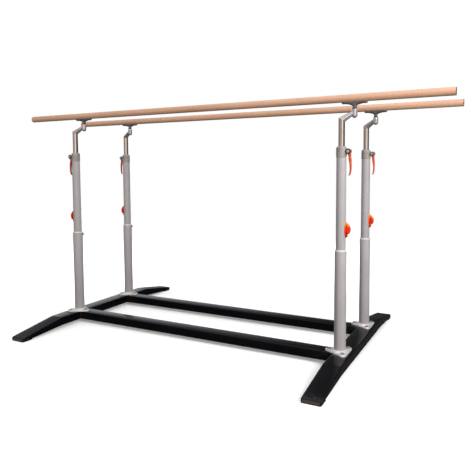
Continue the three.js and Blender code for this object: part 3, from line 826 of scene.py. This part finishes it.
def make_lower_tube(label, place):
    ring_bottom = LOWER_TOP - 10
    foot_bore, foot_top_z = 26, MIDDLE_BOTTOM - GAP
    profile = [(LOWER_RADIUS, PLATE_BOTTOM), (LOWER_RADIUS, ring_bottom), (LOWER_BORE, ring_bottom)]
    profile += [(LOWER_BORE, foot_top_z), (foot_bore, foot_top_z), (foot_bore, PLATE_BOTTOM)]
    sleeve = lathe(rounded(profile, [0.5, 0.8, 0.3, 0.3, 0.3, 0.3], 3))
    add_piece(f"lower_sleeve_{label}", sleeve, "tube_paint", f"lower_tube_{label}", place=place)
    start, outer, inner = ring_bottom + 0.25, LOWER_RADIUS - 0.1, MIDDLE_RADIUS + 0.4
    profile = [(outer, start), (outer, LOWER_TOP - 9), (33.8, LOWER_TOP)]
    profile += [(inner, LOWER_TOP), (inner, start)]
    ring = lathe(rounded(profile, [0.3, 1.6, 0.9, 0.5, 0.3], 4))
    add_piece(f"guide_ring_{label}", ring, "guide_ring", place=place)

    outwards = screw_place(label, LOWER_RADIUS - 0.5, GUIDE_SCREW_Z)
    boss_radius, boss_height = 12.5, 2.4
    profile = [(0, -2.5), (boss_radius, -2.5), (boss_radius, boss_height - 0.8)]
    profile += [(boss_radius - 0.8, boss_height), (0, boss_height)]
    boss = moved(spun(profile, 40), outwards)
    add_piece(f"guide_boss_{label}", boss, "dark_steel", place=place)
    head = moved(moved(cap_screw(8.4, 6.2), shift((0, 0, boss_height))), outwards)
    add_piece(f"guide_screw_{label}", head, "dark_steel", place=place, sharp=35)


def make_middle_tube(label, place):
    profile = [(MIDDLE_RADIUS, MIDDLE_BOTTOM), (MIDDLE_RADIUS, MIDDLE_TOP)]
    profile += [(MIDDLE_BORE, MIDDLE_TOP), (MIDDLE_BORE, MIDDLE_BOTTOM)]
    sleeve = lathe(rounded(profile, 0.5, 3))
    add_piece(f"middle_sleeve_{label}", sleeve, "tube_paint", f"middle_tube_{label}", place=place)
    dome = spun([(0, -1.5), (4.4, -1.5), (4.4, 0.3), (3.9, 1.1), (2.8, 1.8), (1.4, 2.2), (0, 2.3)], 28)
    rivets = joined(*(moved(dome, screw_place(label, MIDDLE_RADIUS - 0.3, z)) for z in RIVETS_Z))
    add_piece(f"rivets_{label}", rivets, "dark_steel", place=place)


# --- clamp

CLAMP_X, CLAMP_Z = 48.0, 1404.0
CLAMP_FACE = 17.25  # half the width over the collar's ears
COLLAR_RADIUS = 34.0


def collar_mesh():
    """A domed collar with a boss for the bolt, split from the boss to the bore."""
    bottom = MIDDLE_TOP + GAP
    outline = [(0, -22), (28.6, -22), (28.6, 0), (COLLAR_RADIUS - 0.8, 0), (COLLAR_RADIUS, 0.8)]
    outline += [(COLLAR_RADIUS, 56), (33.2, 60.5), (31, 64.5), (27.8, 67.6), (24.4, 69.4), (0, 69.4)]
    body = spun([(r, bottom + z) for r, z in outline], 72)
    boss = y_barrel(17, 17, CLAMP_X, CLAMP_Z, 48, 1.8)
    neck = slab(14, CLAMP_X, -16.5, 16.5, CLAMP_Z - 16.2, CLAMP_Z + 16.2)
    bore = spun([(0, 0), (21.6, 0), (21.6, 120), (0, 120)], 72)
    bore = moved(bore, shift((0, 0, bottom - 30)))
    lever_slot = slab(35, 70, -6.2, 6.2, CLAMP_Z - 24, CLAMP_Z + 24)
    split = slab(10, 36, -1.2, 1.2, bottom - 30, bottom + 80)
    bolt_hole = y_barrel(5.4, 24, CLAMP_X, CLAMP_Z, 32, 0.5)
    return remeshed(joined(body, boss, neck), 1.1, 7, [bore, lever_slot, split, bolt_hole])


def lever_mesh():
    """Broad where it leaves the boss, then notched, then a slim blade that hooks in at its tip."""
    # Each station: centre x and z, half thickness, half width.
    stations = [
        (49, 1401, 11.0, 5.4), (52, 1388, 11.2, 5.4), (54.4, 1378.5, 10.8, 6.2), (55.0, 1372.5, 8.2, 5.6),
        (55.2, 1367.5, 8.4, 5.8), (55.8, 1361, 9.8, 8.0), (57.8, 1346, 8.8, 8.4), (59.8, 1330, 7.4, 8.3),
        (60.8, 1312, 6.6, 8.1), (60.8, 1295, 6.0, 7.8), (59.8, 1278, 5.5, 7.4), (57.2, 1264, 5.0, 6.8),
        (53.4, 1255.8, 4.4, 5.8), (49.8, 1253.4, 3.6, 4.2), (48, 1253.2, 2.2, 2.4),
    ]
    sides, squareness = 28, 0.7
    points = curve_through([Vector((x, 0, z)) for x, z, _, _ in stations], 6)
    sizes = curve_through([Vector((thick, wide, 0)) for _, _, thick, wide in stations], 6)
    rings = []
    for i, point in enumerate(points):
        ahead = points[min(i + 1, len(points) - 1)] - points[max(i - 1, 0)]
        ahead.normalize()
        across = Vector((ahead.z, 0, -ahead.x))
        ring = []
        for c, s, _ in circle(1, 0, sides):
            x = sizes[i].x * copysign(abs(c) ** squareness, c)
            y = sizes[i].y * copysign(abs(s) ** squareness, s)
            ring.append(tuple(point + across * x + Vector((0, y, 0))))
        rings.append(ring)
    eye = y_barrel(12, 5.6, CLAMP_X, CLAMP_Z)
    bolt_hole = y_barrel(5.3, 12, CLAMP_X, CLAMP_Z, 32, 0.5)
    return remeshed(joined(loft(rings), eye), 0.75, 3, [bolt_hole])


def make_clamp_bolt(label, place):
    side = inward_sign(label)

    def on_face(shape, sign):
        """The shape standing on one of the collar's ears."""
        turn = turn_about(-sign * pi / 2, 4, "X")
        return moved(shape, shift((CLAMP_X, sign * CLAMP_FACE, CLAMP_Z)) @ turn)

    head, nut = on_face(hex_bolt(9.6, 8.0, 2.0), side), on_face(hex_bolt(9.6, 6.4, 0.8), -side)
    screw = joined(head, nut, y_barrel(5.0, 20, CLAMP_X, CLAMP_Z, 32, 0.4))
    add_piece(
        f"clamp_screw_{label}", screw, "bright_metal", f"clamp_bolt_{label}",
        place=place, sharp=30, slot="zinc_steel",
    )
    # The washers are dark steel; their darkness is partly the washers' own colour and partly painted shade,
    # of the shaded clamp boss and of the gap round the bolt head.
    washers = joined(on_face(washer_shape(18.4, 3.0), side), on_face(washer_shape(15.8, 1.8), -side))
    add_piece(f"clamp_washers_{label}", washers, "dark_steel", place=place, sharp=30)


# --- latch

LATCH_Z = 903.0
HOUSING_BACK = 32.45


def housing_shape():
    """A pillowed plate that hugs the middle tube, with a full chin under the knob."""
    rows, sides = 22, 72
    half_height, half_width, thickness = 53.0, 17.6, 7.6
    chin_up, chin_reach, chin_depth = -42.0, 9.5, 9.0
    front, back = [], []
    for i in range(rows):
        d = sin(i / (rows - 1) * pi / 2)
        lift = thickness * (1 - d ** 5) ** 0.5
        outer, inner = [], []
        for c, s, _ in circle(1, 0, sides):
            across = half_width * copysign(abs(c) ** 0.7, c) * d
            up = half_height * copysign(abs(s) ** 0.82, s) * d
            across *= 1 - 0.28 * (up / half_height) ** 2
            turn = across / 32.5
            z = LATCH_Z - 1 + up
            chin = chin_depth * math.exp(-((up - chin_up) / chin_reach) ** 2) * (1 - d ** 6)
            for ring, r in ((outer, HOUSING_BACK + lift + chin), (inner, HOUSING_BACK)):
                ring.append((r * cos(turn), r * sin(turn), z))
        front.append(outer)
        back.append(inner)
    return loft(front[1:] + list(reversed(back[1:-1])))


def knob_mesh():
    """A hooded finger pull: full at the top, undercut at its lower lip, with ribs to grip."""
    profile = [
        (41.2, 944.5), (44.5, 942.0), (48.5, 936.0), (53.5, 928.5), (58.5, 921.5), (61.4, 914.0),
        (62.0, 905.0), (60.8, 895.0), (57.6, 884.5), (53.0, 876.5), (48.5, 873.0), (46.0, 874.5),
        (45.2, 879.0), (44.2, 884.0), (41.2, 886.0),
    ]
    outline = curve_through([Vector((x, 0, z)) for x, z in profile], 4)
    widths = [(-15.6, 0.86), (-14.2, 0.95), (-11.0, 1.0), (0, 1.0), (11.0, 1.0), (14.2, 0.95), (15.6, 0.86)]
    centre = Vector((49.0, 0, 906.0))
    body = loft([
        [tuple(centre + (p - centre) * scale + Vector((0, y, 0))) for p in outline] for y, scale in widths
    ])
    ribs = []
    for k in range(4):
        z = 890.5 + k * 8.4
        x = 61.6 - 0.012 * (z - 905) ** 2
        ribs.append(moved(y_barrel(1.7, 11.5, 0, 0, 20, 1.0), shift((x, 0, z))))
    pin = moved(cylinder(6, 0, 20, 0.8, 32), along_x((26.6, 0, LATCH_Z)))
    return remeshed(joined(body, pin, *ribs), 0.8, 4)


# --- swan neck

STEM_RADIUS = 21.0
STEM_WALL = 3.5
STEM_BOTTOM = 639.0
KNEE_Z = 1604.0
ARM_END_X, ARM_END_Z = 80.0, 1653.0
ARM_END_RADIUS = 13.5
SOCKET_RADIUS, SOCKET_BORE = 18.5, 8.6
SOCKET_BOTTOM, SOCKET_FLOOR, SOCKET_TOP = 1616, 1638, 1672


def make_neck(label, place):
    """The chromed stem and, welded to it, the arm and the socket for the saddle's stud."""
    sides = 72
    slope = atan2(ARM_END_Z - KNEE_Z, ARM_END_X)
    mitre = pi / 4 + slope / 2
    ahead = Vector((cos(slope), 0, sin(slope)))

    def on_mitre(radius, along):
        """A ring on the knee's mitre plane, moved along the stem (along < 0) or the arm (along > 0)."""
        ring = []
        for x, y, _ in circle(radius, 0, sides):
            point = Vector((x, y, KNEE_Z - x / tan(mitre)))
            if along < 0:
                point.z += along
            elif along > 0:
                point += ahead * along
            ring.append(tuple(point))
        return ring

    bore = STEM_RADIUS - STEM_WALL
    stem = [(bore, STEM_BOTTOM + 40), (bore, STEM_BOTTOM + 0.4), (STEM_RADIUS - 1, STEM_BOTTOM)]
    stem += [(STEM_RADIUS, z) for z in (STEM_BOTTOM + 1, 900, 1200, 1430, 1570)]
    stem = circles(stem, sides) + [on_mitre(STEM_RADIUS, -0.6), on_mitre(STEM_RADIUS - 1.2, 0)]
    own = {"place": place, "body": f"neck_{label}"}
    add_piece(f"neck_stem_{label}", loft(stem), "chrome", f"swan_neck_{label}", **own)

    length = math.hypot(ARM_END_X, ARM_END_Z - KNEE_Z)
    across = Vector((sin(slope), 0, -cos(slope)))
    arm = [on_mitre(STEM_RADIUS - 1.2, 0), on_mitre(STEM_RADIUS, 0.6)]
    for t in (0.36, 0.5, 0.66, 0.82, 1.0):
        radius = STEM_RADIUS + (ARM_END_RADIUS - STEM_RADIUS) * t
        centre = Vector((0, 0, KNEE_Z)) + ahead * length * t
        around = circle(1, 0, sides)
        arm.append([tuple(centre + across * radius * x + Vector((0, radius * y, 0))) for x, y, _ in around])
    add_piece(f"neck_arm_{label}", loft(arm), "bright_metal", **own)

    # The weld at the knee: a rippled bead along the mitre.
    around = circle(1, 0, 10)
    normal = Vector((cos(mitre), 0, sin(mitre)))
    bead = []
    for c, s, _ in circle(1, 0, 2 * sides):
        x, y = (STEM_RADIUS - 0.4) * c, (STEM_RADIUS - 0.4) * s
        centre = Vector((x, y, KNEE_Z - x / tan(mitre)))
        out = Vector((c, s, 0))
        thick = 1.5 + 0.16 * sin(len(bead) * TAU / (2 * sides) * 44)
        bead.append([tuple(centre + out * thick * u + normal * thick * 1.5 * v) for u, v, _ in around])
    add_piece(f"neck_weld_{label}", loft(bead, closed=True), "bright_metal", sharp=60, **own)

    profile = [(7, SOCKET_BOTTOM), (SOCKET_RADIUS, SOCKET_BOTTOM + 11), (SOCKET_RADIUS, SOCKET_TOP)]
    profile += [(SOCKET_BORE, SOCKET_TOP), (SOCKET_BORE, SOCKET_FLOOR)]
    profile += [(WELD, SOCKET_FLOOR), (WELD, SOCKET_BOTTOM)]
    socket = lathe(rounded(profile, [1.5, 1.8, 1.3, 0.8, 0.5, 0, 0], 4), 64)
    socket = moved(socket, shift((ARM_END_X, 0, 0)))
    add_piece(f"neck_socket_{label}", socket, "bright_metal", sharp=35, **own)


# --- saddle and rail

RAIL_MID_Z = middle("rail_front").z / MM
RAIL_HALF_HEIGHT, RAIL_HALF_WIDTH = 25.0, 20.5
RAIL_BOTTOM = RAIL_MID_Z - RAIL_HALF_HEIGHT
RAIL_FIT = 0.35
CAP_END = 1750.0 - 0.05
SADDLE_HALF_LENGTH = 82.4
SADDLE_HALF_WIDTH = 12.7
STUD_RADIUS = 8


def wing_underside(x):
    """Height of a saddle's underside at a distance from its stud."""
    x = abs(x)
    anchors = [(0, 1688.8), (10, 1689.4), (14, 1692.4), (18, 1695.6), (26, 1698.4), (38, 1701.6)]
    anchors += [(52, 1704.4), (68, 1706.3), (83, 1707.4)]
    for (x0, z0), (x1, z1) in zip(anchors, anchors[1:]):
        if x <= x1:
            return z0 + (z1 - z0) * (x - x0) / (x1 - x0)
    return anchors[-1][1]


def saddle_mesh():
    """Two wings under the rail on a flared neck, with the stud that turns in the socket."""
    rings = []
    half_steps, seat_steps, under_steps = 22, 16, 14
    for i in range(-half_steps, half_steps + 1):
        x = SADDLE_HALF_LENGTH * sin(pi / 2 * i / half_steps)
        half_wide = SADDLE_HALF_WIDTH * (1 - (abs(x) / SADDLE_HALF_LENGTH) ** 14 * 0.4)
        ring = []
        for k in range(seat_steps + 1):
            y = half_wide * (1 - 2 * k / seat_steps) * 0.94
            drop = sqrt(1 - (y / (RAIL_HALF_WIDTH + RAIL_FIT)) ** 2)
            seat = RAIL_MID_Z - (RAIL_HALF_HEIGHT + RAIL_FIT) * drop
            ring.append((x, y, min(seat, RAIL_BOTTOM + 4)))
        side_top = ring[-1][2] - 0.9
        deep = side_top - wing_underside(x)
        for k in range(under_steps + 1):
            a = pi * k / under_steps
            ring.append((x, -half_wide * cos(a), side_top - deep * sin(a) ** 0.45))
        rings.append(ring)
    neck = [(0, 1684), (12.2, 1684), (13, 1684.8), (13, 1689.5), (13.4, 1692), (15, 1695), (17.5, 1697.5)]
    neck = spun(neck + [(12, 1702), (0, 1702)], 56)
    stud = cylinder(STUD_RADIUS, 1641, 1690, 0.8, 40)
    return remeshed(joined(loft(rings), neck, stud), 0.9, 3)


def make_stud_rings(label, place, body):
    """The bright washer and the dark seal on the stud."""
    inner = STUD_RADIUS + GAP
    for name, outer, bottom, top, radii, steps, finish in (
        ("stud_washer", 13.6, 1681.2, 1683.6, 0.6, 3, "bright_metal"),
        ("stud_seal", 14.3, 1674.5, 1680.8, [0.4, 1.4, 1.0, 0.4], 4, "shoe_rubber"),
    ):
        profile = rounded([(inner, bottom), (outer, bottom), (outer, top), (inner, top)], radii, steps)
        ring = lathe(profile, 56)
        add_piece(f"{name}_{label}", ring, finish, place=place, sharp=35, body=body, slot="saddle_cast")


def make_saddle_screws(label, place, body):
    screws = []
    for x in (-70, 70):
        at = shift((x, 0, wing_underside(x) + 0.6)) @ turn_about(pi, 4, "X")
        screws.append(moved(cap_screw(5.6, 2.6, 30), at))
    add_piece(f"saddle_screws_{label}", joined(*screws), "dark_steel", place=place, sharp=35, body=body)


def oval(x, inset=0.0):
    """The rail's section at x."""
    return [
        (x, (RAIL_HALF_WIDTH - inset) * c, RAIL_MID_Z + (RAIL_HALF_HEIGHT - inset) * s)
        for c, s, _ in circle(1, 0, 72)
    ]


def make_rail(row):
    low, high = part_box(f"rail_{row}")
    place = shift((0, (low.y + high.y) / 2, 0))
    half = (high.x - low.x) / MM / 2
    rings = [oval(-half, 1.0), oval(-half + 0.4, 0.3), oval(-half + 1.2)]
    rings += [oval(half * sin(pi / 2 * k / 20)) for k in range(-19, 20)]
    rings += [oval(half - 1.2), oval(half - 0.4, 0.3), oval(half, 1.0)]
    own = {"place": place, "body": f"rail_assembly_{row}"}
    add_piece(f"rail_bar_{row}", loft(rings), "wood", f"rail_{row}", f"rail_core_{row}", **own)
    start, stop = half + 0.2, CAP_END
    cap = [(start, 0.9), (start + 0.3, 0.5), (stop - 1.3, 0.5), (stop - 0.7, 0.8), (stop - 0.25, 1.4)]
    cap += [(stop, 2.4), (stop, 8.0), (stop - 0.5, 8.8), (stop - 0.5, 14)]
    for end, sign in ENDS.items():
        shape = loft([oval(sign * x, inset) for x, inset in cap])
        add_piece(f"end_cap_{row}_{end}", shape, "rail_cap", f"rail_cap_{row}_{end}", sharp=35, **own)


# --- assembly

make_camera()

for end in ENDS:
    make_crossfoot(end)
for row in ROWS:
    make_beam(row)
    make_rail(row)

COLLAR, LEVER, KNOB, SADDLE = collar_mesh(), lever_mesh(), knob_mesh(), saddle_mesh()

for label in LABELS:
    upright = upright_place(label)
    make_shoe(label)
    make_flange(label, upright)
    make_lower_tube(label, upright)
    make_middle_tube(label, upright)
    make_clamp_bolt(label, upright)
    make_neck(label, neck_place(label))

    for name, shape, finish, node, body in (
        ("collar", COLLAR.copy(), "collar_cast", "clamp_collar", "root"),
        ("lever_grip", LEVER.copy(), "lever_orange", "clamp_lever", f"lever_{label}"),
        ("latch_plate", housing_shape(), "orange", "lock_housing", "root"),
        ("pull_knob", KNOB.copy(), "orange", "lock_knob", f"knob_{label}"),
    ):
        add_piece(f"{name}_{label}", shape, finish, f"{node}_{label}", place=upright, sharp=50, body=body)

    pin = middle(f"saddle_{label}")
    at_pin = shift((pin.x, pin.y, 0))
    body = f"rail_assembly_{label.split('_')[0]}"
    add_piece(
        f"saddle_casting_{label}", SADDLE.copy(), "saddle_cast", f"saddle_{label}",
        place=at_pin, sharp=50, body=body,
    )
    make_saddle_screws(label, at_pin, body)
    make_stud_rings(label, at_pin, body)

    # The height tube keeps the CAD's own mesh.
    height_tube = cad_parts[f"height_tube_{label}"]
    height_tube.data.materials.clear()
    height_tube.data.materials.append(FINISH["zinc_steel"])

# --- studio

FLOOR_RADIUS = 7.0
FLOOR_GLOW = 0.2
FLOOR_BOUNCE = 0.06
WORLD_STRENGTH = 0.72
CEILING_LIGHT = (1, 1, 1, 1)
# Bearing from the camera's line of sight, right is positive, and the studio's light from there.
WALL_LIGHT = [
    (-180, (0.62, 0.52, 0.46)), (-160, (0.52, 0.43, 0.38)), (-140, (0.74, 0.64, 0.57)),
    (-112, (0.26, 0.23, 0.21)), (-80, (0.34, 0.33, 0.34)), (-35, (0.74, 0.74, 0.78)),
    (-16, (0.52, 0.53, 0.57)), (-3, (0.3, 0.31, 0.34)), (9, (0.08, 0.08, 0.08)),
    (30, (0.04, 0.04, 0.04)), (70, (0.04, 0.04, 0.04)), (100, (0.2, 0.18, 0.17)),
    (128, (0.5, 0.45, 0.41)), (146, (0.4, 0.35, 0.32)), (160, (2.2, 2.05, 1.98)),
    (172, (1.9, 1.76, 1.7)), (180, (0.62, 0.52, 0.46)),
]


def floor_finish():
    """White paper to the camera, with a dimmer bounce to the object. It fades out into the backdrop."""
    s = Shader("floor")
    cloud = s.clouds(0.7, 4, 0.3, 0.7)
    away = s.wired("ShaderNodeVectorMath", {0: s.place}, "Value", operation="LENGTH")
    s.finish(
        s.mix(cloud, (0.86, 0.86, 0.86, 1), (0.88, 0.88, 0.88, 1)),
        s.ramp(cloud, 0, 1, 0.8, 0.9),
        s.noise(90, 4),
        0.05,
        0.001,
        Emission_Color=(1, 1, 1, 1),
        Emission_Strength=s.ramp(away, 1.4, 2.5, FLOOR_GLOW, 1.0),
    )
    dim = s.wired("ShaderNodeBsdfDiffuse", {"Color": (FLOOR_BOUNCE, FLOOR_BOUNCE, FLOOR_BOUNCE, 1)})
    seen = s.mix_shaders(s.camera_ray(), dim, s.bsdf.outputs[0])
    clear = s.wired("ShaderNodeBsdfTransparent", {})
    s.feed(s.out.inputs[0], s.mix_shaders(s.ramp(away, 3.0, 6.5), seen, clear))


def make_floor():
    sides = 96
    mesh = bpy.data.meshes.new("floor")
    faces = [(0, j + 1, (j + 1) % sides + 1) for j in range(sides)]
    mesh.from_pydata([(0, 0, 0)] + circle(FLOOR_RADIUS, 0, sides), [], faces)
    floor_finish()
    mesh.materials.append(FINISH["floor"])
    floor = linked("floor", mesh)
    floor.location.z = -0.0005


def softbox(name, at, aim, size, power):
    """A soft rectangle of light that stays out of mirror reflections."""
    data = bpy.data.lights.new(name, "AREA")
    configured(data, shape="RECTANGLE", size=size[0], size_y=size[1], energy=power)
    aimed = (Vector(aim) - Vector(at)).to_track_quat("-Z", "Y")
    light = configured(linked(name, data), location=at, visible_glossy=False, rotation_mode="QUATERNION")
    light.rotation_quaternion = aimed


def make_world():
    """White to the camera. The object mirrors bright and dark flanks under a bright ceiling."""
    world = bpy.data.worlds.new("studio")
    bpy.context.scene.world = world
    world.use_nodes = True
    w = Nodes(world.node_tree)
    out = w.add("ShaderNodeOutputWorld")
    sky = w.wired("ShaderNodeTexCoord", {}, "Generated")
    sky = w.wired("ShaderNodeMapping", {"Vector": sky, "Rotation": (0, 0, -CAMERA_YAW)})
    parts = w.add("ShaderNodeSeparateXYZ")
    w.feed(parts.inputs[0], sky)
    right, ahead, up = parts.outputs
    side = w.ramp(w.maths("ARCTAN2", right, ahead), -pi, pi, kind="LINEAR")
    flank = w.add("ShaderNodeValToRGB")
    w.feed(flank.inputs[0], side)
    flank.color_ramp.interpolation = "EASE"
    stops = flank.color_ramp.elements
    stops[0].position, stops[0].color = 0.0, (*WALL_LIGHT[0][1], 1)
    stops[1].position, stops[1].color = 1.0, (*WALL_LIGHT[-1][1], 1)
    for degrees, colour in WALL_LIGHT[1:-1]:
        stops.new((degrees + 180) / 360).color = (*colour, 1)
    colour = w.mix(w.ramp(up, 0.62, 0.96), flank.outputs[0], CEILING_LIGHT)
    level = w.ramp(up, -0.12, 0.02, 0.1 * WORLD_STRENGTH, WORLD_STRENGTH, kind="LINEAR")
    # Ahead of the camera the backdrop is bright just above the horizon and dark over that.
    backdrop = w.times(w.ramp(ahead, 0.5, 0.8), w.ramp(up, 0.06, 0.16))
    change = w.times(w.ramp(up, 0.5, 0.65, 1.0, 0.0), w.ramp(up, 0.275, 0.325, 1.3, -0.45))
    strength = w.maths("ADD", level, w.times(level, w.times(backdrop, change)))
    studio = w.wired("ShaderNodeBackground", {"Strength": strength, "Color": colour})
    white = w.wired("ShaderNodeBackground", {"Strength": 1.0, "Color": (1, 1, 1, 1)})
    w.feed(out.inputs["Surface"], w.mix_shaders(w.camera_ray(), studio, white))


make_floor()
make_world()
softbox("overhead", (0.2, -0.4, 5.2), (0, 0, 0.5), (7, 7), 90)
softbox("key", (4.7, -2.2, 2.9), (0, 0, 1.0), (2.2, 2.2), 300)
softbox("front", (1.6, -6.0, 1.5), (0, 0, 1.0), (4.0, 2.4), 48)
softbox("fill", (-4.6, -4.4, 2.0), (0, 0, 0.9), (2.4, 2.4), 70)
softbox("back", (-1.6, 6.0, 3.0), (0, 0, 0.9), (4.0, 3.0), 60)
bpy.context.scene.view_settings.view_transform = "Standard"
